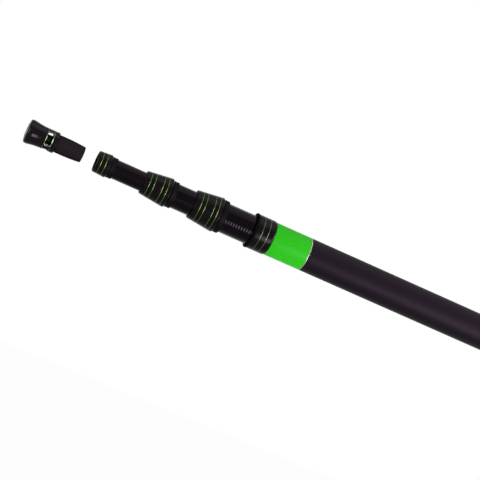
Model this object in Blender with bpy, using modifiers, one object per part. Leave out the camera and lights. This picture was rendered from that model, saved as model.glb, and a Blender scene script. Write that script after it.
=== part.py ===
"""Telescopic microphone boom pole, with four nested tubes, twist locks and a plug-in tip adapter.

Metres. The pole lies along +X, from butt to tip, and the origin is the centre of the butt pad's flat
face. Each inner section is drawn out a little, and the tip adapter stands clear of its socket.
Inside a body, +Z runs along the pole towards the tip, and a profile is a list of (axial, radius).
"""

import math
from dataclasses import dataclass

import bmesh
import bpy
from mathutils import Matrix, Vector

# Fits
BOND = 0.0002            # glue line between sleeves that are bonded
RUN = 0.0003             # radial clearance between pieces that slide or turn
PASS = 0.0004            # radial clearance of a rim that a tube passes through
SEAT = 0.0002            # axial gap between faces that meet

# Round pieces
SIDES = 24
ROUND_STEPS = 3          # of a rounded edge
FLARE_STEPS = 5
MERGE = 0.00001
SMOOTH_ANGLE = math.radians(28)

# Tubes, each nested in the one before
MAIN_RADIUS = 0.0180
MAIN_WALL = 0.0009
MAIN_TUBE_LENGTH = 0.4500
TWO_NEST = 0.0013        # radial room between the main tube's bore and tube two
TWO_WALL = 0.0009
TWO_SHOWN = 0.0323       # length of tube two that shows
THREE_NEST = 0.0018
THREE_WALL = 0.0009
THREE_SHOWN = 0.0211
FOUR_NEST = 0.00205
FOUR_WALL = 0.0006
FOUR_SHOWN = 0.0329
CLOSED_ROOM = 0.0021     # length of a tube that still shows when its section is pushed in
REAR_ROOM = 0.0040       # room behind a tube's end bush when its section is pushed in

# Guide bushes on the rear ends of the inner tubes
GUIDE_LENGTH = 0.0150
GUIDE_FLANGE = 0.0025

# Green band on the main tube's front end
BAND_LENGTH = 0.0404
EDGE_LENGTH = 0.0008
MAIN_SPIGOT = 0.0300     # length of the main ferrule inside the main tube

# Main lock
MAIN_NUT_RISE = 0.0007   # of the nut over the main tube
MAIN_NUT_LENGTH = 0.0225
MAIN_NUT_TAPER = 0.0040
MAIN_NECK = 0.0110
MAIN_LINES = (0.0087, 0.0153)
LIP_LENGTH = 0.0020
LIP_RISE = 0.0004        # of the lip over the nut
LIP_THICKNESS = 0.0013
LIP_ROUND = 0.0009

# Lock on tube two
TWO_FRONT_RISE = 0.00245  # of the nut's front over the tube that passes through it
TWO_REAR_RISE = 0.00295   # of the nut's rear over the tube that carries it
TWO_NUT_LENGTH = 0.0296
TWO_LINES = (0.0059, 0.01055, 0.0196, 0.0244)
TWO_RING_RISE = 0.00185
TWO_RING_LENGTH = 0.0050

# Lock on tube three
THREE_FRONT_RISE = 0.00245
THREE_REAR_RISE = 0.00250
THREE_NUT_LENGTH = 0.0289
THREE_LINES = (0.0046, 0.0095, 0.0185, 0.0233)
THREE_RING_RISE = 0.00115
THREE_RING_LENGTH = 0.0056

# Lock on tube four, which holds the tip adapter
TIP_FRONT_RISE = 0.00195
TIP_REAR_RISE = 0.00205
TIP_NUT_LENGTH = 0.0146
TIP_LINES = (0.0043, 0.0091)
TIP_RING_RISE = 0.00100
TIP_RING_LENGTH = 0.0055
TIP_NECK = 0.0055
TIP_NECK_WALL = 0.0008

# Shared by the locks
NECK = 0.0135            # length of a ferrule's threaded neck
NECK_WALL = 0.0021
BORE_CLEAR = 0.0006      # of a ferrule's bore round the tube inside it
SOCKET_WEB = 0.0015      # of the ferrule in front of the tube's end
SPIGOT = 0.0120          # length of a ferrule inside its tube
MOUTH = 0.0030           # length of the conical mouth that closes the collet
MOUTH_RIM = 0.0005
RING_ROUND = 0.0007
NUT_EDGE = 0.0004
NUT_CHAMFER = 0.0013
LINE_WIDTH = 0.0010
LINE_DEPTH = 0.0003
RIDGE_WIDTH = 0.0016     # of the groove between the two ridges of a ring
RIDGE_DEPTH = 0.0004
THREAD_RUNOUT = 0.0010
CONE = 0.0025            # length of the cone inside a nut's front
RIM = 0.0008             # of a nut between its cone and its wiper
WIPER = 0.0016
WIPER_RIM = 0.0008       # wall of a nut outside its wiper

# Split collets
COLLET_TIP = 0.0004      # wall at a collet's thin end
SLOTS = 6
SLOT_WIDTH = 0.0010
SLOT_ROOT = 0.0015       # length of a collet that stays whole

# Tip adapter
ADAPTER_GAP = 0.0149     # between the stem's end and the tip lock
STEM_FIT = 0.0002        # radial clearance of the stem in tube four
STEM_PLAIN = 0.0161
STEM_TAPER = 0.0132
STEM_TAPER_DROP = 0.00065
STEM_ROUND = 0.0011
STEM_SPIGOT = 0.0034
STEM_SPIGOT_WALL = 0.0016
HEAD_RISE = 0.00160      # of the head's ring over the stem
HEAD_WALL = 0.0018
HEAD_RING = 0.0122
HEAD_FLARE = 0.0170
HEAD_FLARE_RISE = 0.0017
HEAD_RIM = 0.0033
HEAD_ROUND = 0.0013
HEAD_LINE_INSET = 0.0049  # of the rear line from the head's rear face
HEAD_WEB = 0.0025        # between the cable room and the threaded insert
CABLE_ROOM_OVER = 0.0023  # length of the cable room past the front line
CORE_RADIUS = 0.0042     # of the post that leads a cable out to a window
CORE_LENGTH = 0.0099
CORE_NOSE = 0.0050
CORE_TIP = 0.0015
WINDOWS = 3
WINDOW_INSET = 0.0003    # of a window from the middle of the line beside it
WINDOW_TURN = math.radians(7)
PILLAR = 0.0008          # width of a pillar between windows, at the cable room's wall
WINDOW_SIDES = 16
INSERT_RADIUS = 0.0065
INSERT_HOLE = 0.0041
INSERT_RECESS = 0.0003
INSERT_LEAD = 0.0006

# Butt end
PAD_RADIUS = 0.0150
PAD_THICKNESS = 0.0030
PAD_PROUD = 0.0015
PAD_ROUND = 0.0008
CAP_FLANGE = 0.0075
CAP_ROUND = 0.0015
CAP_PLUG = 0.0180
CAP_WALL = 0.0026
CAP_FLOOR = 0.0030
BUTT_SLEEVE = 0.0160
BUTT_SLEEVE_WALL = 0.0015
SEAL_WIDTH = 0.0018
SEAL_INSET = 0.0040      # of the seal from the plug's front
SEAL_DEPTH = 0.0013

COLOURS = {
    "tube": ((0.017, 0.014, 0.018), 0.36, 0.0),
    "main": ((0.018, 0.014, 0.018), 0.55, 0.0),
    "nut": ((0.010, 0.009, 0.010), 0.30, 0.6),
    "ferrule": ((0.012, 0.011, 0.013), 0.40, 0.6),
    "green": ((0.030, 0.578, 0.019), 0.50, 0.0),
    "bright": ((0.80, 0.81, 0.79), 0.25, 1.0),
    "rubber": ((0.006, 0.006, 0.006), 0.75, 0.0),
    "bearing": ((0.60, 0.59, 0.55), 0.50, 0.0),
    "stem": ((0.020, 0.016, 0.020), 0.50, 0.5),
    "steel": ((0.45, 0.45, 0.46), 0.30, 1.0),
}


@dataclass
class Lock:
    """Sizes of one twist lock: the tube that carries it and the tube that it clamps."""

    tube: float
    tube_bore: float
    inner: float
    neck: float
    neck_length: float
    bore: float
    mouth_length: float

    @property
    def mouth(self):
        return self.neck - MOUTH_RIM

    @property
    def collet(self):
        return self.mouth - RUN if self.mouth_length else self.neck

    @property
    def collet_bore(self):
        return self.inner + RUN

    @property
    def cavity(self):
        return self.collet + RUN

    @property
    def rim(self):
        return self.inner + PASS


def new_collection(name):
    collection = bpy.data.collections.new(name)
    bpy.context.scene.collection.children.link(collection)
    return collection


def new_material(name, colour, roughness, metallic):
    material = bpy.data.materials.new(name)
    material.use_nodes = True
    shader = material.node_tree.nodes["Principled BSDF"]
    shader.inputs["Base Color"].default_value = (*colour, 1.0)
    shader.inputs["Roughness"].default_value = roughness
    shader.inputs["Metallic"].default_value = metallic
    return material


def new_body(name, station):
    """An empty on the pole's axis, turned so that its +Z runs towards the tip."""
    empty = bpy.data.objects.new(name, None)
    empty.location.x = station
    empty.rotation_euler.y = math.pi / 2
    parts.objects.link(empty)
    return empty


def bake(piece):
    """Keep the evaluated shape as the piece's own mesh, with crisp edges between smooth faces."""
    bpy.context.view_layer.update()
    evaluated = piece.evaluated_get(bpy.context.evaluated_depsgraph_get())
    solid = bpy.data.meshes.new_from_object(evaluated)
    solid.name = piece.name
    piece.modifiers.clear()
    piece.data = solid
    solid.shade_smooth()
    solid.set_sharp_from_angle(angle=SMOOTH_ANGLE)


def turned(name, profile, body, station, colour):
    """One closed piece turned from a profile that runs down its outer side, from tip to butt."""
    points = [(radius, 0.0, axial) for axial, radius in profile]
    edges = [(index, index + 1) for index in range(len(points) - 1)]
    if profile[0][1] > 0:
        edges.append((len(points) - 1, 0))
    mesh = bpy.data.meshes.new(name)
    mesh.from_pydata(points, edges, [])
    piece = bpy.data.objects.new(name, mesh)
    parts.objects.link(piece)
    piece.parent = body
    piece.location.z = station - body.location.x
    screw = piece.modifiers.new("Turn", "SCREW")
    screw.steps = SIDES
    screw.render_steps = SIDES
    screw.use_merge_vertices = True
    screw.merge_threshold = MERGE
    bake(piece)
    piece.data.materials.append(new_material(name, *COLOURS[colour]))
    return piece


def sleeve(name, body, rear, length, outer, inner, colour):
    profile = [(length, outer), (0.0, outer), (0.0, inner), (length, inner)]
    return turned(name, profile, body, rear, colour)


def arc(centre, radius, start, end, steps):
    """Points of a round stretch, with angles from the radial direction towards the tip."""
    turn = (end - start) / steps
    angles = [start + turn * step for step in range(steps + 1)]
    return [(centre[0] + radius * math.sin(a), centre[1] + radius * math.cos(a)) for a in angles]


def grooved(front, rear, centres, width, depth):
    """The slope between two (axial, radius) points, with a V groove at each axial place."""
    slope = (front[1] - rear[1]) / (front[0] - rear[0])
    points = [front]
    for axial in sorted(centres, reverse=True):
        for step, drop in ((width / 2, 0.0), (0.0, depth), (-width / 2, 0.0)):
            place = axial + step
            points.append((place, rear[1] + slope * (place - rear[0]) - drop))
    points.append(rear)
    return points


def add_cutter(name, mesh, body):
    cutter = bpy.data.objects.new(name, mesh)
    cutters.objects.link(cutter)
    cutter.parent = body
    cutter.hide_render = True
    cutter.display_type = "WIRE"
    return cutter


def cut(piece, cutter):
    boolean = piece.modifiers.new("Cut", "BOOLEAN")
    boolean.operation = "DIFFERENCE"
    boolean.object = cutter


def add_guide(name, body, rear, tube, wall, outer_bore):
    """A bush over a tube's rear end, which guides it in the next tube and stops it."""
    outer = outer_bore - RUN
    socket = tube + BOND
    profile = [
        (GUIDE_LENGTH, outer),
        (0.0, outer),
        (0.0, tube - wall),
        (GUIDE_FLANGE, tube - wall),
        (GUIDE_FLANGE, socket),
        (GUIDE_LENGTH, socket),
    ]
    turned(name, profile, body, rear, "bearing")


def add_ferrule(name, body, rear, lock, ring_rise, ring_length, ring_lines, spigot):
    """A sleeve bonded over a tube's front end, with a threaded neck in front of its ring."""
    ring = lock.tube + ring_rise
    front = ring_length + lock.neck_length
    socket = lock.tube + BOND
    socket_end = ring_length - SOCKET_WEB
    profile = [(front, lock.neck), (ring_length, lock.neck)]
    profile += grooved((ring_length, ring), (RING_ROUND, ring), ring_lines, RIDGE_WIDTH, RIDGE_DEPTH)
    profile += [(0.0, max(ring - RING_ROUND, (ring + socket) / 2)), (0.0, socket), (socket_end, socket)]
    if spigot:
        spigot_outer = lock.tube_bore - BOND
        profile += [(socket_end, spigot_outer), (-spigot, spigot_outer), (-spigot, lock.bore)]
    else:
        profile.append((socket_end, lock.bore))
    if lock.mouth_length:
        profile += [(front - lock.mouth_length, lock.bore), (front, lock.mouth)]
    else:
        profile.append((front, lock.bore))
    turned(name, profile, body, rear, "ferrule")


def collet_span(lock, nut_rear, neck_front, cone_rear):
    """Rear and front ends of a collet, between the ferrule's mouth and the nut's cone."""
    drop = lock.collet - lock.collet_bore - COLLET_TIP
    front = nut_rear + cone_rear + drop * CONE / (lock.cavity - lock.rim)
    if lock.mouth_length:
        rear = neck_front - drop * lock.mouth_length / (lock.mouth - lock.bore)
    else:
        rear = neck_front + SEAT
    return rear, front


def add_collet(name, body, lock, nut_rear, neck_front, cone_rear):
    """A split sleeve that the nut's cone and the ferrule's mouth close on the inner tube."""
    rear, front = collet_span(lock, nut_rear, neck_front, cone_rear)
    length = front - rear
    tip = lock.collet_bore + COLLET_TIP
    profile = [(length, tip), (nut_rear + cone_rear - rear, lock.collet)]
    if lock.mouth_length:
        profile += [(neck_front - rear, lock.collet), (0.0, tip)]
    else:
        profile.append((0.0, lock.collet))
    profile += [(0.0, lock.collet_bore), (length, lock.collet_bore)]
    collet = turned(name, profile, body, rear, "bearing")

    slot_rear = (neck_front - rear if lock.mouth_length else 0.0) + SLOT_ROOT
    slot_length = 2 * (length - slot_rear)
    reach = 2 * (lock.collet - lock.collet_bore)
    size = Matrix.Diagonal((reach, SLOT_WIDTH, slot_length, 1.0))
    place = Matrix.Translation(((lock.collet + lock.collet_bore) / 2, 0.0, length))
    slots = bmesh.new()
    for index in range(SLOTS):
        turn = Matrix.Rotation(2 * math.pi * index / SLOTS, 4, "Z")
        bmesh.ops.create_cube(slots, size=1.0, matrix=turn @ place @ size)
    mesh = bpy.data.meshes.new(name + "_slots")
    slots.to_mesh(mesh)
    slots.free()
    cutter = add_cutter(name + "_slots", mesh, body)
    cutter.location = collet.location
    cut(collet, cutter)
    bake(collet)


def nut_bore(lock, thread_length, length, cone_rear):
    """The inside of a nut, from its rear to the rim that the inner tube passes through."""
    thread = lock.neck + RUN
    points = [(0.0, thread)]
    if lock.mouth_length:
        points += [(thread_length, thread), (thread_length, lock.cavity)]
    points += [(cone_rear, lock.cavity), (cone_rear + CONE, lock.rim), (length, lock.rim)]
    return points


def add_lock(names, bodies, rear, lock, front_rise, rear_rise, length, lines):
    """Nut, wiper and collet of a lock whose nut is conical. Returns the nut's front."""
    nut_name, wiper_name, collet_name = names
    collet_body, nut_body = bodies
    neck_front = rear + lock.neck_length - SEAT
    front_radius = lock.inner + front_rise
    rear_radius = lock.tube + rear_rise
    wiper_seat = length - WIPER - SEAT
    cone_rear = wiper_seat - RIM - CONE
    seat_radius = front_radius - WIPER_RIM

    profile = [(length, front_radius - NUT_EDGE / 2)]
    centres = [length - line for line in lines]
    front_edge = (length - NUT_EDGE, front_radius)
    profile += grooved(front_edge, (NUT_CHAMFER, rear_radius), centres, LINE_WIDTH, LINE_DEPTH)
    profile.append((0.0, rear_radius - NUT_CHAMFER))
    profile += nut_bore(lock, lock.neck_length + THREAD_RUNOUT, wiper_seat, cone_rear)
    profile += [(wiper_seat, seat_radius), (length, seat_radius)]
    turned(nut_name, profile, nut_body, rear, "nut")

    wiper_rear = rear + wiper_seat + SEAT
    sleeve(wiper_name, nut_body, wiper_rear, WIPER, seat_radius - BOND, lock.inner + RUN, "rubber")
    add_collet(collet_name, collet_body, lock, rear, neck_front, cone_rear)
    return rear + length


def add_main_lock(rear, lock):
    """Nut, lip and collet at the front of the main tube. Returns the lip's front."""
    radius = MAIN_RADIUS + MAIN_NUT_RISE
    body_length = MAIN_NUT_LENGTH - LIP_LENGTH
    lip_outer = radius + LIP_RISE
    lip_inner = lip_outer - LIP_THICKNESS
    nose = lip_inner - BOND
    nose_length = MAIN_NUT_LENGTH - SEAT
    cone_rear = body_length - RIM - CONE
    collet_body = new_body("main_collet_slide", rear)
    nut_body = new_body("main_nut_turn", rear)

    centres = [MAIN_NUT_LENGTH - line for line in MAIN_LINES]
    profile = [(nose_length, nose), (body_length, nose), (body_length, radius - NUT_EDGE)]
    front_edge = (body_length - NUT_EDGE, radius)
    profile += grooved(front_edge, (MAIN_NUT_TAPER, radius), centres, LINE_WIDTH, LINE_DEPTH)
    profile.append((0.0, MAIN_RADIUS))
    profile += nut_bore(lock, 0.0, nose_length, cone_rear)
    turned("lock_nut_main", profile, nut_body, rear, "nut")

    lip_length = LIP_LENGTH - SEAT
    round_centre = (lip_length - LIP_ROUND, lip_outer - LIP_ROUND)
    lip = [(lip_length, lip_inner)]
    lip += reversed(arc(round_centre, LIP_ROUND, 0.0, math.pi / 2, ROUND_STEPS))
    lip += [(0.0, lip_outer), (0.0, lip_inner)]
    turned("nut_lip_main", lip, nut_body, rear + body_length + SEAT, "rubber")

    add_collet("collet_main", collet_body, lock, rear, rear + MAIN_NECK - SEAT, cone_rear)
    return rear + MAIN_NUT_LENGTH


def add_butt(main_rear):
    """Threaded sleeve, screw cap, seal and pad at the main tube's rear end."""
    sleeve_outer = main_bore - BOND
    sleeve_inner = sleeve_outer - BUTT_SLEEVE_WALL
    sleeve("butt_ferrule", main_body, main_rear + SEAT, BUTT_SLEEVE, sleeve_outer, sleeve_inner, "ferrule")

    cap_body = new_body("butt_cap_turn", 0.0)
    seal_body = new_body("butt_seal_slide", 0.0)
    plug = sleeve_inner - RUN
    groove = plug - SEAL_DEPTH
    front = CAP_FLANGE + CAP_PLUG
    groove_front = front - SEAL_INSET
    groove_rear = groove_front - SEAL_WIDTH - 2 * SEAT
    recess = PAD_THICKNESS - PAD_PROUD + SEAT
    round_centre = (CAP_ROUND, MAIN_RADIUS - CAP_ROUND)
    floor = recess + CAP_FLOOR
    profile = [(floor, 0.0), (floor, plug - CAP_WALL), (front, plug - CAP_WALL), (front, plug)]
    profile += [(groove_front, plug), (groove_front, groove), (groove_rear, groove), (groove_rear, plug)]
    profile += [(CAP_FLANGE, plug), (CAP_FLANGE, MAIN_RADIUS)]
    profile += arc(round_centre, CAP_ROUND, 0.0, -math.pi / 2, ROUND_STEPS)
    profile += [(0.0, PAD_RADIUS + BOND), (recess, PAD_RADIUS + BOND), (recess, 0.0)]
    turned("butt_cap", profile, cap_body, PAD_PROUD, "nut")

    seal_rear = PAD_PROUD + groove_rear + SEAT
    sleeve("butt_seal", seal_body, seal_rear, SEAL_WIDTH, plug, groove + BOND, "rubber")
    pad = [(PAD_THICKNESS, 0.0), (PAD_THICKNESS, PAD_RADIUS), (PAD_ROUND, PAD_RADIUS)]
    pad += [(0.0, PAD_RADIUS - PAD_ROUND), (0.0, 0.0)]
    turned("butt_pad", pad, cap_body, 0.0, "rubber")


def window_cutter(index, ring, cable_room, head, body):
    """A round-ended block that cuts one cable window through the side of the head."""
    height = HEAD_RING - HEAD_LINE_INSET - 2 * WINDOW_INSET
    half_angle = math.pi / WINDOWS - math.asin(PILLAR / 2 / cable_room)
    straight = cable_room * math.sin(half_angle) - height / 2
    block = bmesh.new()
    bmesh.ops.create_cone(
        block,
        cap_ends=True,
        segments=WINDOW_SIDES,
        radius1=height / 2,
        radius2=height / 2,
        depth=ring,
        matrix=Matrix.Rotation(math.pi / WINDOW_SIDES, 4, "Z"),
    )
    for vertex in block.verts:
        vertex.co.x += math.copysign(straight, vertex.co.x)
    mesh = bpy.data.meshes.new("window")
    block.to_mesh(mesh)
    block.free()
    angle = WINDOW_TURN + 2 * math.pi * index / WINDOWS
    radial = Vector((-math.sin(angle), math.cos(angle), 0.0))
    axial = Vector((0.0, 0.0, 1.0))
    cutter = add_cutter(f"window_{index + 1}", mesh, body)
    cutter.rotation_euler = Matrix((axial.cross(radial), axial, radial)).transposed().to_euler()
    middle = (HEAD_RING + HEAD_LINE_INSET) / 2
    cutter.location = head.location + radial * ring + axial * middle
    return cutter


def add_adapter(stem_rear):
    """The plug-in tip: stem, flared head with cable windows, and its threaded insert."""
    body = new_body("adapter_slide", stem_rear)
    head_rear = stem_rear + STEM_TAPER + STEM_PLAIN
    ring = stem_radius + HEAD_RISE
    cable_room = ring - HEAD_WALL
    stem_bore = cable_room - BOND - STEM_SPIGOT_WALL
    stem_front = head_rear - stem_rear
    stem_end = stem_radius - STEM_TAPER_DROP
    round_centre = (STEM_ROUND, stem_end - STEM_ROUND)
    stem = [(stem_front - SEAT + STEM_SPIGOT, cable_room - BOND), (stem_front - SEAT, cable_room - BOND)]
    stem += [(stem_front - SEAT, stem_radius), (STEM_TAPER, stem_radius)]
    stem += arc(round_centre, STEM_ROUND, 0.0, -math.pi / 2, ROUND_STEPS)
    stem += [(0.0, stem_bore), (stem_front - SEAT + STEM_SPIGOT, stem_bore)]
    turned("adapter_stem", stem, body, stem_rear, "stem")

    length = HEAD_RING + HEAD_FLARE + HEAD_RIM
    flare_radius = (HEAD_FLARE ** 2 + HEAD_FLARE_RISE ** 2) / (2 * HEAD_FLARE_RISE)
    flare_angle = math.asin(HEAD_FLARE / flare_radius)
    rim = ring + HEAD_FLARE_RISE
    pocket = INSERT_RADIUS + BOND
    room_front = HEAD_RING + CABLE_ROOM_OVER
    pocket_rear = room_front + HEAD_WEB
    core_rear = room_front - CORE_LENGTH
    head = [(pocket_rear, 0.0), (pocket_rear, pocket), (length, pocket)]
    round_centre = (length - HEAD_ROUND, rim - HEAD_ROUND)
    head += reversed(arc(round_centre, HEAD_ROUND, 0.0, math.pi / 2, ROUND_STEPS))
    flare_centre = (HEAD_RING, ring + flare_radius)
    head += arc(flare_centre, -flare_radius, -flare_angle, 0.0, FLARE_STEPS)[:-1]
    lines = (HEAD_RING, HEAD_LINE_INSET)
    head += grooved((length, ring), (0.0, ring), lines, LINE_WIDTH, LINE_DEPTH)[1:]
    head += [(0.0, cable_room), (room_front, cable_room), (room_front, CORE_RADIUS)]
    head += [(core_rear, CORE_RADIUS), (core_rear - CORE_NOSE, CORE_TIP), (core_rear - CORE_NOSE, 0.0)]
    piece = turned("adapter_head", head, body, head_rear, "nut")
    for index in range(WINDOWS):
        cut(piece, window_cutter(index, ring, cable_room, piece, body))
    bake(piece)

    insert_length = length - pocket_rear - SEAT - INSERT_RECESS
    insert = [(insert_length, INSERT_RADIUS), (0.0, INSERT_RADIUS), (0.0, INSERT_HOLE)]
    insert += [(insert_length - INSERT_LEAD, INSERT_HOLE), (insert_length, INSERT_HOLE + INSERT_LEAD)]
    turned("thread_insert", insert, body, head_rear + pocket_rear + SEAT, "steel")
    return head_rear + length


for leftover in list(bpy.data.objects):
    bpy.data.objects.remove(leftover)
parts = new_collection("boom_pole")
cutters = new_collection("cutters")

# Tube radii, from the outside in
main_bore = MAIN_RADIUS - MAIN_WALL
two_radius = main_bore - TWO_NEST
two_bore = two_radius - TWO_WALL
three_radius = two_bore - THREE_NEST
three_bore = three_radius - THREE_WALL
four_radius = three_bore - FOUR_NEST
four_bore = four_radius - FOUR_WALL
stem_radius = four_bore - STEM_FIT

main_lock = Lock(MAIN_RADIUS, main_bore, two_radius, main_bore - BOND, MAIN_NECK, two_radius + PASS, 0.0)
two_neck = three_radius + BORE_CLEAR + NECK_WALL
two_lock = Lock(two_radius, two_bore, three_radius, two_neck, NECK, three_radius + BORE_CLEAR, MOUTH)
three_neck = four_radius + BORE_CLEAR + NECK_WALL
three_lock = Lock(three_radius, three_bore, four_radius, three_neck, NECK, four_radius + BORE_CLEAR, MOUTH)
tip_bore = four_bore + BOND
tip_lock = Lock(four_radius, four_bore, stem_radius, tip_bore + TIP_NECK_WALL, TIP_NECK, tip_bore, 0.0)

# Main section, from the butt to its lock
main_rear = PAD_PROUD + CAP_FLANGE + SEAT
main_front = main_rear + MAIN_TUBE_LENGTH
edge_rear = main_front + SEAT
band_rear = edge_rear + EDGE_LENGTH + SEAT
main_nut_rear = band_rear + BAND_LENGTH + SEAT
main_body = new_body("main_section", main_rear)
sleeve("main_tube", main_body, main_rear, MAIN_TUBE_LENGTH, MAIN_RADIUS, main_bore, "main")
sleeve("band_edge", main_body, edge_rear, EDGE_LENGTH, MAIN_RADIUS, main_bore, "bright")
sleeve("green_band", main_body, band_rear, BAND_LENGTH, MAIN_RADIUS, main_bore, "green")
ferrule_rear = main_front - MAIN_SPIGOT
ferrule_length = main_nut_rear + MAIN_NECK - SEAT - ferrule_rear
sleeve("ferrule_main", main_body, ferrule_rear, ferrule_length, main_lock.neck, main_lock.bore, "ferrule")
add_butt(main_rear)
main_nut_front = add_main_lock(main_nut_rear, main_lock)

# Section two
two_ring_rear = main_nut_front + TWO_SHOWN
two_body = new_body("section_two", two_ring_rear)
two_guide_rear = PAD_PROUD + CAP_FLANGE + CAP_PLUG + REAR_ROOM + TWO_SHOWN - CLOSED_ROOM
two_rear = two_guide_rear + GUIDE_FLANGE + SEAT
two_front = two_ring_rear + TWO_RING_LENGTH - SOCKET_WEB - SEAT
sleeve("tube_two", two_body, two_rear, two_front - two_rear, two_radius, two_bore, "tube")
add_guide("guide_two", two_body, two_guide_rear, two_radius, TWO_WALL, main_bore)
add_ferrule("ferrule_two", two_body, two_ring_rear, two_lock, TWO_RING_RISE, TWO_RING_LENGTH, (), SPIGOT)
two_nut_rear = two_ring_rear + TWO_RING_LENGTH + SEAT
two_nut_front = add_lock(
    ("lock_nut_two", "wiper_two", "collet_two"),
    (new_body("two_collet_slide", two_nut_rear), new_body("two_nut_turn", two_nut_rear)),
    two_nut_rear,
    two_lock,
    TWO_FRONT_RISE,
    TWO_REAR_RISE,
    TWO_NUT_LENGTH,
    TWO_LINES,
)

# Section three
three_ring_rear = two_nut_front + THREE_SHOWN
three_body = new_body("section_three", three_ring_rear)
three_guide_rear = two_rear + REAR_ROOM + THREE_SHOWN - CLOSED_ROOM
three_rear = three_guide_rear + GUIDE_FLANGE + SEAT
three_front = three_ring_rear + THREE_RING_LENGTH - SOCKET_WEB - SEAT
three_ridge = (THREE_RING_LENGTH / 2,)
sleeve("tube_three", three_body, three_rear, three_front - three_rear, three_radius, three_bore, "tube")
add_guide("guide_three", three_body, three_guide_rear, three_radius, THREE_WALL, two_bore)
add_ferrule(
    "ferrule_three",
    three_body,
    three_ring_rear,
    three_lock,
    THREE_RING_RISE,
    THREE_RING_LENGTH,
    three_ridge,
    SPIGOT,
)
three_nut_rear = three_ring_rear + THREE_RING_LENGTH + SEAT
three_nut_front = add_lock(
    ("lock_nut_three", "wiper_three", "collet_three"),
    (new_body("three_collet_slide", three_nut_rear), new_body("three_nut_turn", three_nut_rear)),
    three_nut_rear,
    three_lock,
    THREE_FRONT_RISE,
    THREE_REAR_RISE,
    THREE_NUT_LENGTH,
    THREE_LINES,
)

# Section four, which takes the tip adapter
tip_ring_rear = three_nut_front + FOUR_SHOWN
four_body = new_body("section_four", tip_ring_rear)
four_guide_rear = three_rear + REAR_ROOM + FOUR_SHOWN - CLOSED_ROOM
four_rear = four_guide_rear + GUIDE_FLANGE + SEAT
four_front = tip_ring_rear + TIP_RING_LENGTH - SOCKET_WEB - SEAT
tip_ridge = (TIP_RING_LENGTH / 2,)
sleeve("tube_four", four_body, four_rear, four_front - four_rear, four_radius, four_bore, "tube")
add_guide("guide_four", four_body, four_guide_rear, four_radius, FOUR_WALL, three_bore)
add_ferrule("tip_ferrule", four_body, tip_ring_rear, tip_lock, TIP_RING_RISE, TIP_RING_LENGTH, tip_ridge, 0.0)
tip_nut_rear = tip_ring_rear + TIP_RING_LENGTH + SEAT
tip_nut_front = add_lock(
    ("tip_lock_nut", "tip_wiper", "tip_collet"),
    (new_body("tip_collet_slide", tip_nut_rear), new_body("tip_nut_turn", tip_nut_rear)),
    tip_nut_rear,
    tip_lock,
    TIP_FRONT_RISE,
    TIP_REAR_RISE,
    TIP_NUT_LENGTH,
    TIP_LINES,
)

add_adapter(tip_nut_front + ADAPTER_GAP)
bpy.context.view_layer.update()
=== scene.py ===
import math

import bmesh
import bpy
from mathutils import Matrix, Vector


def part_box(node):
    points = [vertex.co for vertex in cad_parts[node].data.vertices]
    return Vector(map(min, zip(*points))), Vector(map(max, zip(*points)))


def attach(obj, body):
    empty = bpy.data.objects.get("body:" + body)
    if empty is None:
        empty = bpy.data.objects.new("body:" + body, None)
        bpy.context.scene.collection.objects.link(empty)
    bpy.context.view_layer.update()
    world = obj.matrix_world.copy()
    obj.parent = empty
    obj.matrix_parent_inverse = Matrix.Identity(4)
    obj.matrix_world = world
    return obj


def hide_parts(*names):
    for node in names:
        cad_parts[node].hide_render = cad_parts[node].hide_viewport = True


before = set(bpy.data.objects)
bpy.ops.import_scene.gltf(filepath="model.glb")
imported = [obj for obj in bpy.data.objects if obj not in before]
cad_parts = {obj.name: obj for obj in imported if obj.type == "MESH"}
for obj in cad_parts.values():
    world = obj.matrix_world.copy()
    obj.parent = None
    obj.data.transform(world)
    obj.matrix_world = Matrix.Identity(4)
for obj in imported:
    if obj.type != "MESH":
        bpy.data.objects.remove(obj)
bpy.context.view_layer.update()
print("frame loaded:", len(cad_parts), "nodes")

mm = 0.001
fullTurn = 2 * math.pi
quarterTurn = math.pi / 2
pureWhite = (1, 1, 1, 1)
scene = bpy.context.scene
scene.view_settings.view_transform = "Standard"


def linearColour(code):  # sRGB hex to linear red, green, blue, alpha
    parts = [int(code[i:i + 2], 16) / 255 for i in (1, 3, 5)]
    return [c / 12.92 if c <= 0.04045 else ((c + 0.055) / 1.055) ** 2.4 for c in parts] + [1.0]


def addNode(tree, kind, inputs=None, **settings):
    node = tree.nodes.new("ShaderNode" + kind)
    for key, value in settings.items():
        setattr(node, key, value)
    for key, value in (inputs or {}).items():
        if isinstance(value, bpy.types.NodeSocket):
            tree.links.new(value, node.inputs[key])
        else:
            node.inputs[key].default_value = value
    return node


def newMaterial(name, sockets):
    material = bpy.data.materials.new(name)
    material.use_nodes = True
    shader = material.node_tree.nodes["Principled BSDF"]
    for key, value in sockets.items():
        shader.inputs[key].default_value = value
    return material, material.node_tree, shader


# Finishes give sizes in mm: broad patches tint a surface, and fine marks roughen it and stand up as bump
patchDetail = 3
markDetail = 2
toolMarkDepth = 0.02
grainDepth = 0.03


def joinFinish(tree, shader, look, patches, marks, depth):
    tint = addNode(tree, "Mix", {
        "Factor": patches.outputs["Fac"], "A": linearColour(look["dark"]),
        "B": linearColour(look["light"])}, data_type="RGBA")
    low, high = look["roughness"]
    rough = addNode(tree, "MapRange", {"Value": marks.outputs["Fac"], "To Min": low, "To Max": high})
    bump = addNode(tree, "Bump", {
        "Height": marks.outputs["Fac"], "Strength": look["bump"], "Distance": depth * mm})
    tree.links.new(tint.outputs["Result"], shader.inputs["Base Color"])
    tree.links.new(rough.outputs["Result"], shader.inputs["Roughness"])
    tree.links.new(bump.outputs["Normal"], shader.inputs["Normal"])


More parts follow.
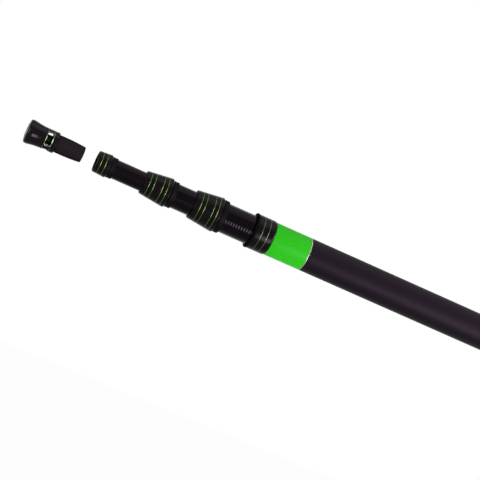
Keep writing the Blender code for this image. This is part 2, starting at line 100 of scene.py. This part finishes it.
# Turned metal: fine rings from the tool, round the pole on its sides and in circles on its end faces. They
# are drawn about twice as coarse as real ones, so that they show
def turnedFinish(name, look):
    edge = look.get("edge", 1.0)
    material, tree, shader = newMaterial(name, {"Metallic": 1.0, "Specular Tint": (edge, edge, edge, 1)})
    place = addNode(tree, "TexCoord").outputs["Object"]
    across = addNode(tree, "VectorMath", {0: place, 1: (0, 1, 1)}, operation="MULTIPLY")
    radius = addNode(tree, "VectorMath", {0: across.outputs[0]}, operation="LENGTH")
    along = addNode(tree, "SeparateXYZ", {0: place})
    ring = addNode(tree, "Math", {0: along.outputs["X"], 1: radius.outputs["Value"]}, operation="ADD")
    marks = addNode(tree, "TexNoise", {
        "W": ring.outputs[0], "Scale": 1 / (look["marks"] * mm), "Detail": markDetail},
        noise_dimensions="1D")
    patches = addNode(tree, "TexNoise", {
        "Vector": place, "Scale": 1 / (look["patches"] * mm), "Detail": patchDetail})
    joinFinish(tree, shader, look, patches, marks, toolMarkDepth)
    return material


# Lacquer, rubber, plastic and blasted metal: a fine grain all over, with longer streaks of fibre or flow
# along the pole. Grain below 0.4 mm is drawn coarser than the real one, so that it shows
def grainFinish(name, look):
    edge = look.get("edge", 1.0)
    material, tree, shader = newMaterial(name, {
        "Metallic": look.get("metallic", 0.0), "Specular IOR Level": look.get("specular", 0.5),
        "Specular Tint": (edge, edge, edge, 1)})
    place = addNode(tree, "TexCoord").outputs["Object"]
    length, width = look["streak"]
    stretched = addNode(tree, "Mapping", {"Vector": place, "Scale": (width / length, 1, 1)})
    streaks = addNode(tree, "TexNoise", {
        "Vector": stretched.outputs[0], "Scale": 1 / (width * mm), "Detail": patchDetail})
    grain = addNode(tree, "TexNoise", {
        "Vector": place, "Scale": 1 / (look["grain"] * mm), "Detail": markDetail})
    joinFinish(tree, shader, look, streaks, grain, grainDepth)
    return material


# Hard-anodised aluminium, turned and dyed black: deep black face on, paler where it is seen along the
# surface
blackAnodised = turnedFinish("blackAnodisedAluminium", {
    "dark": "#121011", "light": "#191718", "edge": 0.75, "marks": 0.35, "patches": 6,
    "roughness": (0.21, 0.30), "bump": 0.10})
# The same after polishing: sharper, brighter reflections
polishedAnodised = turnedFinish("polishedBlackAnodisedAluminium", {
    "dark": "#171417", "light": "#1D1A1D", "edge": 0.7, "marks": 0.35, "patches": 6,
    "roughness": (0.13, 0.20), "bump": 0.06})
# The same with a green dye over the black: black with a deep green cast
greenBlackAnodised = turnedFinish("greenBlackAnodisedAluminium", {
    "dark": "#0B1306", "light": "#111B09", "edge": 0.75, "marks": 0.35, "patches": 6,
    "roughness": (0.21, 0.30), "bump": 0.10})
# Black anodised aluminium with a dull tumbled finish: the light spreads and no edge glints
dullAnodised = turnedFinish("tumbledBlackAnodisedAluminium", {
    "dark": "#0F0D0E", "light": "#151314", "edge": 0.6, "marks": 0.35, "patches": 6,
    "roughness": (0.46, 0.56), "bump": 0.10})
# Bead-blasted and anodised aluminium: even and dull
blastedAnodised = grainFinish("blastedAnodisedAluminium", {
    "dark": "#201A1F", "light": "#272126", "metallic": 1.0, "edge": 0.25, "streak": (4, 2), "grain": 0.25,
    "roughness": (0.80, 0.90), "bump": 0.25})
# Grooves cut through the black and dyed green: thin dull metal lines that glint where they face the light
greenGroove = turnedFinish("greenDyedGroove", {
    "dark": "#4A5042", "light": "#5B6251", "edge": 0.9, "marks": 0.3, "patches": 2,
    "roughness": (0.26, 0.36), "bump": 0.05})
# Anodised aluminium cut again after dyeing: bright metal with a green cast
brightCut = turnedFinish("brightCutAluminium", {
    "dark": "#535E4B", "light": "#66725E", "marks": 0.3, "patches": 2,
    "roughness": (0.24, 0.34), "bump": 0.05})
# Polished aluminium ring, dulled by handling: a pale line with a soft sheen
polishedRing = turnedFinish("polishedAluminiumRing", {
    "dark": "#A3AD9B", "light": "#B8C2B0", "marks": 0.25, "patches": 3,
    "roughness": (0.42, 0.52), "bump": 0.05})
# Satin lacquer over carbon fibre, which reflects as a dark metal: near black with a soft wide sheen and
# faint fibre streaks
satinLacquer = grainFinish("satinLacquerOnCarbon", {
    "dark": "#19131A", "light": "#1F191F", "metallic": 1.0, "edge": 0.85, "streak": (30, 0.7), "grain": 0.3,
    "roughness": (0.50, 0.58), "bump": 0.12})
# Carbon fibre cured under wound tape, clear lacquer: glossy black, the tape's ribs catch the light
wrappedCarbon = grainFinish("tapeWrappedCarbon", {
    "dark": "#100C10", "light": "#151115", "metallic": 1.0, "edge": 0.85, "streak": (24, 0.5), "grain": 0.6,
    "roughness": (0.12, 0.17), "bump": 0.04})
# The same fibre ground smooth before its lacquer: an even dark gloss
groundCarbon = grainFinish("groundCarbon", {
    "dark": "#110D11", "light": "#171317", "metallic": 1.0, "edge": 0.85, "streak": (24, 0.5), "grain": 0.6,
    "roughness": (0.25, 0.31), "bump": 0.04})
# Green polyolefin sleeve: flat colour with hardly any shine
greenSleeve = grainFinish("greenPolyolefinSleeve", {
    "dark": "#28BE12", "light": "#2EC318", "streak": (20, 6), "grain": 0.35, "specular": 0.10,
    "roughness": (0.42, 0.52), "bump": 0.04})
# Nitrile rubber, moulded: dull black
nitrileRubber = grainFinish("nitrileRubber", {
    "dark": "#0D0B0D", "light": "#131113", "streak": (3, 3), "grain": 0.2, "specular": 0.005,
    "roughness": (0.70, 0.85), "bump": 0.20})
# Natural acetal, machined: milky white plastic
naturalAcetal = grainFinish("naturalAcetal", {
    "dark": "#CBC9C2", "light": "#D6D4CE", "streak": (8, 2), "grain": 0.3, "specular": 0.4,
    "roughness": (0.35, 0.45), "bump": 0.05})
# Free-cutting steel, turned: grey with visible tool rings
turnedSteel = turnedFinish("turnedSteel", {
    "dark": "#9FA0A2", "light": "#B6B7B9", "marks": 0.3, "patches": 3,
    "roughness": (0.22, 0.34), "bump": 0.20})
print("materials ready")

sharpAngle = math.radians(32)  # steeper edges stay sharp


def finishMesh(name, bm, finishes):
    bmesh.ops.recalc_face_normals(bm, faces=bm.faces)
    mesh = bpy.data.meshes.new(name)
    bm.to_mesh(mesh)
    bm.free()
    mesh.shade_smooth()
    mesh.set_sharp_from_angle(angle=sharpAngle)
    for material in finishes:
        mesh.materials.append(material)
    piece = bpy.data.objects.new(name, mesh)
    scene.collection.objects.link(piece)
    return piece


def seat(piece, node, body):
    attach(piece, body)
    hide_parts(node)


def reach(vertex):  # distance from the pole's axis
    return math.hypot(vertex.co.y, vertex.co.z)


def loopEdges(verts):  # each edge once, in the loop's order
    return list(dict.fromkeys(e for v in verts for e in v.link_edges))


turnedSides = 128
roundSegments = 4
turnedWeld = 0.001 * mm
nearAlong = 1e-6  # metres
nearOut = 2e-6


def onRing(vertex, place, radius):
    return abs(vertex.co.x - place) < nearAlong and abs(reach(vertex) - radius) < nearOut


# Spins corners of (mm from the node's rear, radius in mm, rounding in mm) round the pole, then rounds
# their rings
def spinCorners(rear, corners, sides=turnedSides):
    bm = bmesh.new()
    wire = [bm.verts.new((rear + x * mm, 0, r * mm)) for x, r, _ in corners]
    lines = [bm.edges.new(pair) for pair in zip(wire, wire[1:])]
    if corners[0][1] > 0:  # a wire that starts off the axis is a closed ring section
        lines.append(bm.edges.new((wire[-1], wire[0])))
    bmesh.ops.spin(bm, geom=wire + lines, cent=(0, 0, 0), axis=(1, 0, 0), angle=fullTurn, steps=sides,
                   use_merge=True)
    bmesh.ops.remove_doubles(bm, verts=bm.verts, dist=turnedWeld)
    bmesh.ops.recalc_face_normals(bm, faces=bm.faces)
    for x, r, rounding in corners:
        if rounding:
            ring = [e for e in bm.edges if all(onRing(v, rear + x * mm, r * mm) for v in e.verts)]
            bmesh.ops.bevel(bm, geom=ring, offset=rounding * mm, offset_type="OFFSET", affect="EDGES",
                            segments=roundSegments, profile=0.5, material=-1, clamp_overlap=True)
    bm.normal_update()
    return bm


# Round grooves for the green lines: the section's points are shares of the width and of the depth
groove = {"width": 0.5, "depth": 0.12,
          "section": [(0.5, 0), (0.25, 0.75), (0, 1), (-0.25, 0.75), (-0.5, 0)]}


# Corners down a straight slope, with a groove at each line
def groovedSlope(front, rear, lines):
    rise = (front[1] - rear[1]) / (front[0] - rear[0])
    corners = [front]
    for line in lines:
        for share, drop in groove["section"]:
            place = line + share * groove["width"]
            corners.append((place, rear[1] + rise * (place - rear[0]) - drop * groove["depth"], 0))
    return corners + [rear]


grooveFinish = 1  # where these stand in the list of finishes of a nut and of the tip head
greenFinish = 2
outwardLeast = 6 * mm  # an outer face scores about its radius, an end face about 0 and a bore below 0


# Gives the outward faces between two places along the pole another finish
def paintZone(bm, rear, first, last, finish):
    for face in bm.faces:
        middle = face.calc_center_median()
        outward = face.normal.y * middle.y + face.normal.z * middle.z
        if rear + first * mm < middle.x < rear + last * mm and outward > outwardLeast:
            face.material_index = finish


def paintGrooves(bm, rear, lines):
    for line in lines:
        paintZone(bm, rear, line - groove["width"] / 2, line + groove["width"] / 2, grooveFinish)


# Lock nuts: corners outside from front to rear, then the bore from rear to front. Each pair of lines
# bounds a green zone
mainNut = {
    "node": "lock_nut_main", "body": "main_nut",
    "front": [(22.3, 17.6, 0.15), (20.5, 17.6, 0), (20.5, 18.3, 0)],
    "slope": [(20.1, 18.7, 0.3), (1.8, 18.7, 0.8)],
    "rear": [(0, 18.0, 0.1)],
    "bore": [(0, 17.2, 0), (17.2, 17.2, 0), (19.7, 16.2, 0), (22.3, 16.2, 0)],
    "lines": [13.8, 7.2], "pairs": []}
nutTwo = {
    "node": "lock_nut_two", "body": "two_nut",
    "front": [(29.6, 15.30, 0.12)],
    "slope": [(29.2, 15.5, 0.2), (1.3, 18.85, 0.5)],
    "rear": [(0, 17.45, 0.3)],
    "bore": [(0, 16.1, 0), (14.5, 16.1, 0), (14.5, 15.3, 0), (24.5, 15.3, 0), (27.0, 13.5, 0),
             (27.8, 13.5, 0), (27.8, 14.75, 0), (29.6, 14.75, 0)],
    "lines": [23.7, 19.05, 10.0, 5.2], "pairs": [(19.05, 23.7), (5.2, 10.0)]}
nutThree = {
    "node": "lock_nut_three", "body": "three_nut",
    "front": [(28.9, 12.35, 0.12)],
    "slope": [(28.5, 12.5, 0.2), (1.3, 15.75, 0.5)],
    "rear": [(0, 14.3, 0.3)],
    "bore": [(0, 13.15, 0), (14.5, 13.15, 0), (14.5, 12.35, 0), (23.8, 12.35, 0), (26.3, 10.55, 0),
             (27.1, 10.55, 0), (27.1, 11.8, 0), (28.9, 11.8, 0)],
    "lines": [24.3, 19.4, 10.4, 5.6], "pairs": [(19.4, 24.3), (5.6, 10.4)]}
tipNut = {
    "node": "tip_lock_nut", "body": "tip_nut",
    "front": [(14.6, 11.05, 0.12)],
    "slope": [(14.2, 11.3, 0.2), (1.0, 12.2, 0.4)],
    "rear": [(0, 11.2, 0.1)],
    "bore": [(0, 10.85, 0), (9.5, 10.85, 0), (12.0, 9.75, 0), (12.8, 9.75, 0), (12.8, 10.5, 0),
             (14.6, 10.5, 0)],
    "lines": [10.3, 5.5], "pairs": [(5.5, 10.3)]}

for nut in (mainNut, nutTwo, nutThree, tipNut):
    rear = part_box(nut["node"])[0].x
    outside = nut["front"] + groovedSlope(*nut["slope"], nut["lines"]) + nut["rear"]
    bm = spinCorners(rear, outside + nut["bore"])
    for first, last in nut["pairs"]:
        paintZone(bm, rear, first, last, greenFinish)
    paintGrooves(bm, rear, nut["lines"])
    piece = finishMesh(nut["node"] + "_turned", bm, [blackAnodised, greenGroove, greenBlackAnodised])
    seat(piece, nut["node"], nut["body"])
print("lock nuts turned")

# Plain turned pieces: corners all round, from the front of the outside
turnings = {
    "nut_lip_main": {
        "body": "main_nut", "finish": nitrileRubber,
        "corners": [(1.68, 16.4, 0), (1.8, 16.4, 0), (1.8, 19.1, 0.85), (-0.18, 19.1, 0.25),
                    (-0.18, 17.65, 0), (1.68, 17.65, 0)]},
    "wiper_two": {
        "body": "two_nut", "finish": nitrileRubber,
        "corners": [(1.6, 14.55, 0.2), (0, 14.55, 0), (0, 13.4, 0), (1.6, 13.4, 0.4)]},
    "wiper_three": {
        "body": "three_nut", "finish": nitrileRubber,
        "corners": [(1.6, 11.6, 0.2), (0, 11.6, 0), (0, 10.45, 0), (1.6, 10.45, 0.4)]},
    "tip_wiper": {
        "body": "tip_nut", "finish": nitrileRubber,
        "corners": [(1.6, 10.3, 0.15), (0, 10.3, 0), (0, 9.65, 0), (1.6, 9.65, 0.3)]},
    "ferrule_two": {
        "body": "section_two", "finish": dullAnodised,
        "corners": [(30.5, 15.8, 0.2), (17.0, 15.8, 0), (17.0, 17.65, 0.35), (12.0, 17.65, 0.2),
                    (12.0, 16.0, 0.1), (15.5, 16.0, 0), (15.5, 14.7, 0), (0, 14.7, 0), (0, 13.7, 0),
                    (27.5, 13.7, 0), (30.5, 15.3, 0)]},
    "ferrule_three": {
        "body": "section_three", "finish": dullAnodised,
        "corners": [(31.1, 12.85, 0.2), (17.6, 12.85, 0), (17.6, 14.25, 0.35), (15.7, 14.25, 0.3),
                    (14.8, 13.75, 0.2), (13.9, 14.25, 0.3), (12.0, 14.25, 0.45), (12.0, 13.3, 0.05),
                    (16.1, 13.3, 0), (16.1, 12.0, 0), (0, 12.0, 0), (0, 10.75, 0), (28.1, 10.75, 0),
                    (31.1, 12.35, 0)]},
    "tip_ferrule": {
        "body": "section_four", "finish": dullAnodised,
        "corners": [(11.0, 10.55, 0.1), (5.5, 10.55, 0), (5.5, 11.15, 0.25), (3.6, 11.15, 0.3),
                    (2.75, 10.75, 0.2), (1.9, 11.15, 0.3), (0, 11.15, 0.3), (0, 10.35, 0.05),
                    (4.0, 10.35, 0), (4.0, 9.75, 0), (11.0, 9.75, 0)]},
    "tube_four": {
        "body": "section_four", "finish": groundCarbon,
        "corners": [(556.0, 10.15, 0.1), (0, 10.15, 0.1), (0, 9.55, 0), (556.0, 9.55, 0)]},
    "adapter_stem": {
        "body": "adapter", "finish": blastedAnodised,
        "corners": [(32.5, 8.95, 0.2), (29.1, 8.95, 0), (29.1, 9.35, 0), (17.0, 9.35, 3.0),
                    (7.0, 8.92, 3.0), (0, 8.25, 0.6), (0, 7.35, 0.2), (32.5, 7.35, 0)]},
    "main_tube": {
        "body": "main", "finish": satinLacquer,
        "corners": [(450, 18.0, 0.1), (0, 18.0, 0.1), (0, 17.1, 0), (450, 17.1, 0)]},
    "green_band": {
        "body": "main", "finish": greenSleeve,
        "corners": [(40.4, 18.0, 0.3), (0, 18.0, 0.05), (0, 17.1, 0), (40.4, 17.1, 0)]},
    "band_edge": {
        "body": "main", "finish": polishedRing,
        "corners": [(0.8, 17.6, 0), (0.6, 18.0, 0.1), (0.1, 18.0, 0.1), (0, 17.6, 0), (0, 17.1, 0),
                    (0.8, 17.1, 0)]},
    "butt_cap": {
        "body": "butt_cap", "finish": blackAnodised,
        "corners": [(4.7, 0, 0), (4.7, 12.5, 0.5), (25.5, 12.5, 0.3), (25.5, 15.1, 0.5), (21.5, 15.1, 0),
                    (21.5, 13.8, 0), (19.3, 13.8, 0), (19.3, 15.1, 0), (7.5, 15.1, 0), (7.5, 18.0, 0.3),
                    (0, 18.0, 1.5), (0, 15.2, 0.15), (1.7, 15.2, 0), (1.7, 0, 0)]},
    "butt_pad": {
        "body": "butt_cap", "finish": nitrileRubber,
        "corners": [(3.0, 0, 0), (3.0, 15.0, 0), (0, 15.0, 0.8), (0, 0, 0)]},
    "butt_seal": {
        "body": "butt_seal", "finish": nitrileRubber,
        "corners": [(1.8, 15.1, 0.5), (0, 15.1, 0.5), (0, 14.0, 0.3), (1.8, 14.0, 0.3)]},
}
for node, turning in turnings.items():
    bm = spinCorners(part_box(node)[0].x, turning["corners"])
    seat(finishMesh(node + "_turned", bm, [turning["finish"]]), node, turning["body"])
print("plain turnings done")

# Tape-wound tubes: the tape leaves round ribs, which run round the tube as a fine screw
woundTubes = {
    "tube_two": {
        "body": "section_two", "radius": 15.9, "bore": 14.9, "pitch": 3.0, "rib": 0.22, "start": 0.62,
        "sides": 96},
    "tube_three": {
        "body": "section_three", "radius": 13.1, "bore": 12.2, "pitch": 2.9, "rib": 0.03, "start": 0,
        "sides": 80},
}
ribSteps = 4
spareTurns = 3  # wound past the tube's ends, two of them at the rear, and trimmed off
rearTurns = 2
woundWeld = 0.002 * mm
trimmedWeld = 0.004 * mm


def windTube(node, tube):
    low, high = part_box(node)
    pitch = tube["pitch"] * mm
    turns = math.ceil((high.x - low.x) / pitch) + spareTurns
    first = low.x - (rearTurns + tube["start"]) * pitch
    bm = bmesh.new()
    ends = [bm.verts.new((first, 0, 0)), bm.verts.new((first + turns * pitch, 0, 0))]
    line = bm.edges.new(ends)
    bmesh.ops.subdivide_edges(bm, edges=[line], cuts=turns * ribSteps - 1)
    for vertex in bm.verts:
        share = ((vertex.co.x - first) / pitch) % 1.0
        vertex.co.z = (tube["radius"] - tube["rib"] * (2 * share - 1) ** 2) * mm
    step = (pitch / tube["sides"], 0, 0)
    bmesh.ops.spin(bm, geom=bm.verts[:] + bm.edges[:], cent=(0, 0, 0), axis=(1, 0, 0), dvec=step,
                   angle=fullTurn, steps=tube["sides"])
    bmesh.ops.remove_doubles(bm, verts=bm.verts, dist=woundWeld)
    for place, clearInner in ((low.x, True), (high.x, False)):
        bmesh.ops.bisect_plane(bm, geom=bm.verts[:] + bm.edges[:] + bm.faces[:], plane_co=(place, 0, 0),
                               plane_no=(1, 0, 0), clear_inner=clearInner, clear_outer=not clearInner)
    bmesh.ops.remove_doubles(bm, verts=bm.verts, dist=trimmedWeld)
    upright = Matrix.Translation((low.x, 0, 0)) @ Matrix.Rotation(quarterTurn, 4, "Y")
    bore = bmesh.ops.create_circle(bm, segments=tube["sides"], radius=tube["bore"] * mm, matrix=upright)
    drawn = bmesh.ops.extrude_edge_only(bm, edges=loopEdges(bore["verts"]))["geom"]
    farVerts = [g for g in drawn if isinstance(g, bmesh.types.BMVert)]
    bmesh.ops.translate(bm, verts=farVerts, vec=(high.x - low.x, 0, 0))
    for place in (low.x, high.x):
        rim = [e for e in bm.edges
               if e.is_boundary and all(abs(v.co.x - place) < nearAlong for v in e.verts)]
        bmesh.ops.bridge_loops(bm, edges=rim)
    return finishMesh(node + "_wound", bm, [wrappedCarbon])


for node, tube in woundTubes.items():
    seat(windTube(node, tube), node, tube["body"])
print("wound tubes done")

# Flared tip head: rear collar, two lines, flare, rounded rim, end face and the core between the windows
tipHead = {
    "ring": 11.05, "rearRound": 0.3, "collar": 4.9, "ringLength": 12.2, "flat": 0.7,
    "flare": 15.0, "flareRise": 1.62, "flareSteps": 10, "rim": 5.3, "rimRound": 1.7,
    "face": 8.0, "faceRound": 0.6, "crown": 1.0,
    "pocket": 6.7, "pocketRear": 17.0, "pocketRound": 0.25,
    "room": 9.15, "roomFront": 14.5, "roomRound": 0.4, "roomMargin": 0.1,
    "core": 5.3, "coreRear": 4.6, "coreFoot": 0.6, "coreRound": 1.5,
    "nose": -0.4, "noseRadius": 1.5, "noseRound": 0.8, "greenMargin": 0.5}
# Racetrack windows with bright chamfered rims: half widths at the wall and at the chamfer's edge
window = {
    "turn": 7, "count": 3, "half": 3.30, "edge": 3.72, "straight": 5.21, "chamfer": 0.28, "wall": 1.75,
    "overlap": 0.05, "lift": 0.012, "cutFrom": 8.0, "cutTo": -4.0, "segments": 64, "straightCuts": 16}
windowWeld = 0.003 * mm
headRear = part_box("adapter_head")[0].x - tipHead["nose"] * mm
windowPlace = headRear + (tipHead["collar"] + tipHead["ringLength"]) / 2 * mm
windowAngles = [math.radians(window["turn"]) + fullTurn * i / window["count"]
                for i in range(window["count"])]
headLines = [tipHead["ringLength"], tipHead["collar"]]


def headCorners(head):
    length = head["ringLength"] + head["flare"] + head["rim"]
    bend = (head["flare"] ** 2 + head["flareRise"] ** 2) / (2 * head["flareRise"])  # the flare's radius
    corners = [
        (head["pocketRear"], 0, 0), (head["pocketRear"], head["pocket"], 0),
        (length, head["pocket"], head["pocketRound"]), (length, head["face"], head["faceRound"]),
        (length - head["crown"], head["ring"] + head["flareRise"], head["rimRound"])]
    for step in range(head["flareSteps"], 0, -1):
        run = head["flare"] * step / head["flareSteps"]
        corners.append((head["ringLength"] + run, head["ring"] + bend - math.sqrt(bend ** 2 - run ** 2), 0))
    corners += groovedSlope((head["ringLength"] + head["flat"], head["ring"], 0),
                            (0, head["ring"], head["rearRound"]), headLines)
    corners += [
        (0, head["room"], 0), (head["roomFront"], head["room"], head["roomRound"]),
        (head["roomFront"], head["core"], head["coreFoot"]),
        (head["coreRear"], head["core"], head["coreRound"]),
        (head["nose"], head["noseRadius"], head["noseRound"]), (head["nose"], 0, 0)]
    return corners


# A racetrack loop laid flat, along the pole in x and round it in y, then bent round the pole at an angle
def racetrack(bm, half, depth, angle):
    loop = bmesh.ops.create_circle(bm, segments=window["segments"], radius=half * mm)["verts"]
    halfStep = Matrix.Rotation(math.pi / window["segments"], 3, "Z")  # so that no point lies at y = 0
    bmesh.ops.rotate(bm, verts=loop, cent=(0, 0, 0), matrix=halfStep)
    for vertex in loop:
        vertex.co.y += math.copysign(window["straight"] * mm, vertex.co.y)
    edges = loopEdges(loop)
    sides = [e for e in edges if e.verts[0].co.y * e.verts[1].co.y < 0]
    split = bmesh.ops.subdivide_edges(bm, edges=sides, cuts=window["straightCuts"])["geom_split"]
    edges += [g for g in split if isinstance(g, bmesh.types.BMEdge) and g not in edges]
    out = (tipHead["ring"] + depth) * mm
    for vertex in {v for e in edges for v in e.verts}:
        turn = angle + vertex.co.y / (tipHead["ring"] * mm)
        vertex.co = (windowPlace + vertex.co.x, out * math.cos(turn), out * math.sin(turn))
    return edges


bm = spinCorners(headRear, headCorners(tipHead))
paintGrooves(bm, headRear, headLines)
paintZone(bm, headRear, tipHead["collar"] + tipHead["greenMargin"],
          tipHead["ringLength"] - tipHead["greenMargin"], greenFinish)
roomEnd = headRear + (tipHead["roomFront"] + tipHead["roomMargin"]) * mm
roomReach = (tipHead["room"] + tipHead["roomMargin"]) * mm
for face in bm.faces:  # the room behind the windows is green too
    if face.calc_center_median().x < roomEnd and reach(face.verts[0]) < roomReach:
        face.material_index = greenFinish
tipPiece = finishMesh("adapter_head_turned", bm, [polishedAnodised, greenGroove, greenBlackAnodised])

cutter = bmesh.new()
for angle in windowAngles:
    loops = [racetrack(cutter, window["edge"] - window["overlap"], depth, angle)
             for depth in (window["cutFrom"], window["cutTo"])]
    bmesh.ops.bridge_loops(cutter, edges=loops[0] + loops[1])
    for loop in loops:
        bmesh.ops.contextual_create(cutter, geom=loop)
cutPiece = finishMesh("windowCutter", cutter, [greenBlackAnodised])
cut = tipPiece.modifiers.new("windows", "BOOLEAN")
cut.operation = "DIFFERENCE"
cut.solver = "EXACT"
cut.object = cutPiece
bpy.context.view_layer.update()
cutMesh = bpy.data.meshes.new_from_object(tipPiece.evaluated_get(bpy.context.evaluated_depsgraph_get()))
bm = bmesh.new()
bm.from_mesh(cutMesh)
bmesh.ops.remove_doubles(bm, verts=bm.verts, dist=windowWeld)
bmesh.ops.dissolve_degenerate(bm, edges=bm.edges, dist=windowWeld)
bmesh.ops.recalc_face_normals(bm, faces=bm.faces)
bm.to_mesh(cutMesh)
bm.free()
tipPiece.modifiers.clear()
tipPiece.data = cutMesh
bpy.data.objects.remove(cutPiece)
seat(tipPiece, "adapter_head", "adapter")

rims = bmesh.new()
wallHalf = window["half"] - window["overlap"]
rimSection = [(window["edge"], window["lift"]), (wallHalf, -window["chamfer"]), (wallHalf, -window["wall"]),
              (window["edge"], -window["wall"])]
for angle in windowAngles:
    loops = [racetrack(rims, half, depth, angle) for half, depth in rimSection]
    for index, loop in enumerate(loops):
        walls = bmesh.ops.bridge_loops(rims, edges=loop + loops[(index + 1) % len(loops)])["faces"]
        for face in walls:
            face.material_index = 0 if index == 0 else 1  # only the chamfer is bright
rimPiece = finishMesh("window_rims", rims, [brightCut, greenBlackAnodised])
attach(rimPiece, "adapter")
print("tip head done")

# Threaded insert: a steel bush with a 3/8 in, 16 per inch thread wound inside it, sunk a little into it
insert = {
    "radius": 6.5, "length": 15.0, "root": 4.85, "lead": 0.7, "sides": 96,
    "frontRound": 0.3, "rearRound": 0.2, "leadRound": 0.1,
    "crest": 4.12, "crestRear": 0.68, "crestFront": 0.88, "foot": 1.5, "sunk": 0.1, "pitch": 1.5875,
    "steps": 48}
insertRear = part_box("thread_insert")[0].x
bm = spinCorners(insertRear, [
    (insert["length"], insert["radius"], insert["frontRound"]), (0, insert["radius"], insert["rearRound"]),
    (0, insert["root"], 0), (insert["length"] - insert["lead"], insert["root"], 0),
    (insert["length"], insert["root"] + insert["lead"], insert["leadRound"])], insert["sides"])
seat(finishMesh("thread_insert_bush", bm, [turnedSteel]), "thread_insert", "adapter")
thread = bmesh.new()
sunkRoot = insert["root"] + insert["sunk"]
ridge = [(0, sunkRoot), (insert["crestRear"], insert["crest"]), (insert["crestFront"], insert["crest"]),
         (insert["foot"], sunkRoot)]
wire = [thread.verts.new((insertRear + x * mm, 0, r * mm)) for x, r in ridge]
profile = thread.faces.new(wire)
turns = int((insert["length"] - insert["lead"]) / insert["pitch"]) - 1  # one less for the ridge's width
bmesh.ops.spin(thread, geom=[profile], cent=(0, 0, 0), axis=(1, 0, 0),
               dvec=(insert["pitch"] * mm / insert["steps"], 0, 0), angle=fullTurn * turns,
               steps=insert["steps"] * turns)
threadPiece = finishMesh("thread_insert_thread", thread, [turnedSteel])
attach(threadPiece, "adapter")
print("threaded insert done")

# Pieces inside the pole keep their solids
inside = {
    naturalAcetal: ["collet_main", "collet_two", "collet_three", "tip_collet", "guide_two", "guide_three",
                    "guide_four"],
    blackAnodised: ["ferrule_main", "butt_ferrule"]}
for material, nodes in inside.items():
    for node in nodes:
        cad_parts[node].data.materials.clear()
        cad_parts[node].data.materials.append(material)
print("inner pieces dressed")

# Camera at the photograph's angle: level with the pole, turned 12 degrees off square and rolled
view = {
    "lens": 122.7, "clip": 0.01, "place": (0.89149, 1.66099, -0.01424), "heading": 167.70, "roll": 23.888}
camera = bpy.data.objects.new("camera", bpy.data.cameras.new("camera"))
camera.data.lens = view["lens"]
camera.data.clip_start = view["clip"]
scene.collection.objects.link(camera)
headed = Matrix.Rotation(math.radians(view["heading"]), 4, "Z")
levelled = Matrix.Rotation(quarterTurn, 4, "X")
rolled = Matrix.Rotation(math.radians(view["roll"]), 4, "Z")
camera.matrix_world = Matrix.Translation(view["place"]) @ headed @ levelled @ rolled
scene.camera = camera

# Soft studio light in a white surround: a low box on the camera's side past the butt, a wide box overhead,
# and a tall narrow box toward each end, flagged off so that it only shows in reflections. Turn 0 stands on
# the camera's side, and height is in degrees above the pole
softboxes = {
    "lowFront": {
        "aim": (-0.15, 0, 0), "turn": 0, "height": -22, "distance": 1.6, "size": (0.70, 0.74), "watts": 22,
        "flagged": False},
    "overhead": {
        "aim": (0.45, 0, 0), "turn": 0, "height": 80, "distance": 1.5, "size": (3.0, 1.2), "watts": 16,
        "flagged": False},
    "tipSide": {
        "aim": (0.65, 0, 0), "turn": 55, "height": 3, "distance": 1.5, "size": (0.45, 1.0), "watts": 25,
        "flagged": True},
    "buttSide": {
        "aim": (0.55, 0, 0), "turn": -60, "height": 3, "distance": 1.5, "size": (0.45, 1.0), "watts": 20,
        "flagged": True}}
for name, box in softboxes.items():
    lamp = bpy.data.lights.new(name, "AREA")
    lamp.shape = "RECTANGLE"
    lamp.size, lamp.size_y = box["size"]
    lamp.energy = box["watts"]
    softbox = bpy.data.objects.new(name, lamp)
    softbox.visible_camera = False
    softbox.visible_diffuse = not box["flagged"]
    scene.collection.objects.link(softbox)
    turned = Matrix.Rotation(math.radians(180 - box["turn"]), 4, "Z")
    tilted = Matrix.Rotation(math.radians(90 - box["height"]), 4, "X")
    away = Matrix.Translation((0, 0, box["distance"]))
    softbox.matrix_world = Matrix.Translation(box["aim"]) @ turned @ tilted @ away


# 1 for what the camera sees, straight, in a reflection or through glass, and 0 for light on the object
def seenShare(tree):
    path = addNode(tree, "LightPath").outputs
    seen = addNode(tree, "Math", {0: path["Is Camera Ray"], 1: path["Is Glossy Ray"]}, operation="MAXIMUM")
    seen = addNode(tree, "Math", {0: seen.outputs[0], 1: path["Is Transmission Ray"]}, operation="MAXIMUM")
    return seen.outputs[0]


surround = {"lighting": 0.27, "seen": 1.0}
world = bpy.data.worlds.new("surround")
scene.world = world
world.use_nodes = True
tree = world.node_tree
strength = addNode(tree, "MapRange", {
    "Value": seenShare(tree), "To Min": surround["lighting"], "To Max": surround["seen"]})
tree.nodes["Background"].inputs["Color"].default_value = pureWhite
tree.links.new(strength.outputs["Result"], tree.nodes["Background"].inputs["Strength"])

# Pale floor well below the pole, white to the camera apart from a faint shadow
floorLook = {"height": -0.9, "middle": 0.4, "size": 12.0, "grey": 0.86, "roughness": 0.9, "white": 0.97}
bm = bmesh.new()
bmesh.ops.create_grid(bm, x_segments=1, y_segments=1, size=floorLook["size"] / 2,
                      matrix=Matrix.Translation((floorLook["middle"], 0, floorLook["height"])))
grey = floorLook["grey"]
floorMaterial, tree, shader = newMaterial("paleFloor", {
    "Base Color": (grey, grey, grey, 1), "Roughness": floorLook["roughness"]})
share = addNode(tree, "Math", {0: seenShare(tree), 1: floorLook["white"]}, operation="MULTIPLY")
white = addNode(tree, "Emission", {"Color": pureWhite, "Strength": 1.0})
mixed = addNode(tree, "MixShader", {0: share.outputs[0], 1: shader.outputs[0], 2: white.outputs[0]})
tree.links.new(mixed.outputs[0], tree.nodes["Material Output"].inputs["Surface"])
floorPiece = finishMesh("floor", bm, [floorMaterial])
print("camera, light and floor set")
